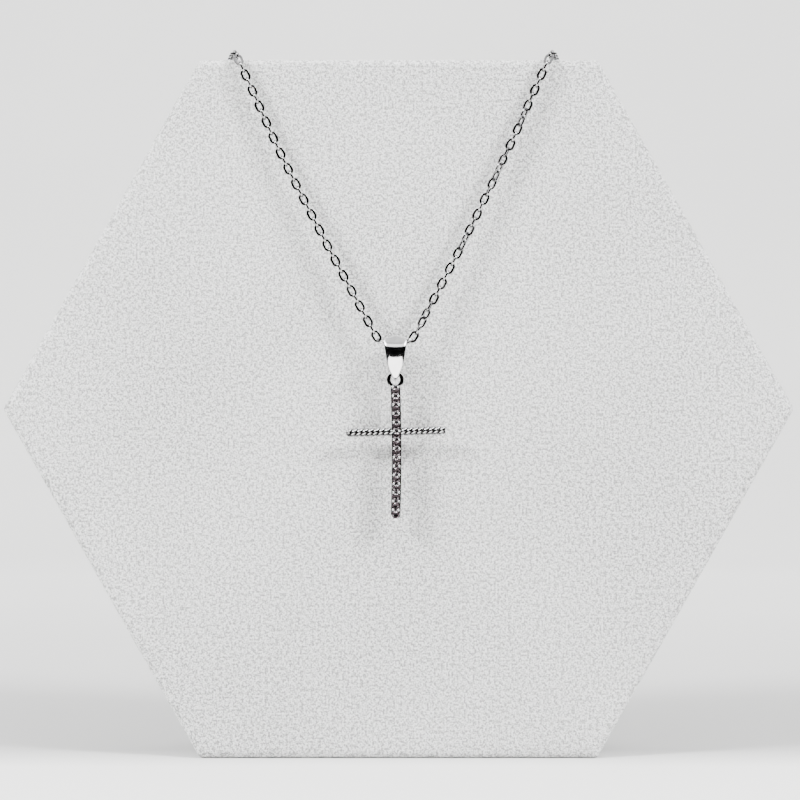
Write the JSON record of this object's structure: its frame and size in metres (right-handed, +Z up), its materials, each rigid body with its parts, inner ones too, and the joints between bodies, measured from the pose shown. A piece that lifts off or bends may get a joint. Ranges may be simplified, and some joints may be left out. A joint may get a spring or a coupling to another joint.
{
  "type": "cross pendant necklace on hexagonal display board",
  "caption": "Fine cable chain necklace with a crowned bail and a stone-set cross with twisted-rope arms, hung over a thick hexagonal display board.",
  "frame": {"origin": "on the floor, under the middle of the board", "axes": "+X to the right seen from the front, +Y to the back, +Z up"},
  "size_m": [0.1494, 0.0269, 0.1343],
  "materials": {
    "plaster": "matte cast plaster with a fine grain",
    "silver": "polished silver-coloured metal",
    "stone": "clear cut stone"
  },
  "bodies": {
    "stand": {"board": "plaster", "chain_left": "silver", "chain_right": "silver", "clasp": "silver"},
    "bail": {"bail": "silver"},
    "cross": {"cross": "silver", "stone_01": "stone", "stone_02": "stone", "stone_03": "stone", "stone_04": "stone", "stone_05": "stone", "stone_06": "stone", "stone_07": "stone", "stone_08": "stone", "stone_09": "stone", "stone_10": "stone", "stone_11": "stone", "stone_12": "stone", "stone_13": "stone", "stone_14": "stone", "stone_15": "stone"}
  },
  "joints": [
    {"name": "bail_swing", "type": "hinge", "parent": "stand", "child": "bail", "pos_m": [-0.0006, -0.01275, 0.07835], "axis": [-1, 0, 0], "range_deg": [-1.5, 60]},
    {"name": "cross_swing", "type": "hinge", "parent": "bail", "child": "cross", "pos_m": [-0.0006, -0.01275, 0.07285], "axis": [-1, 0, 0], "range_deg": [-1.5, 25]}
  ]
}
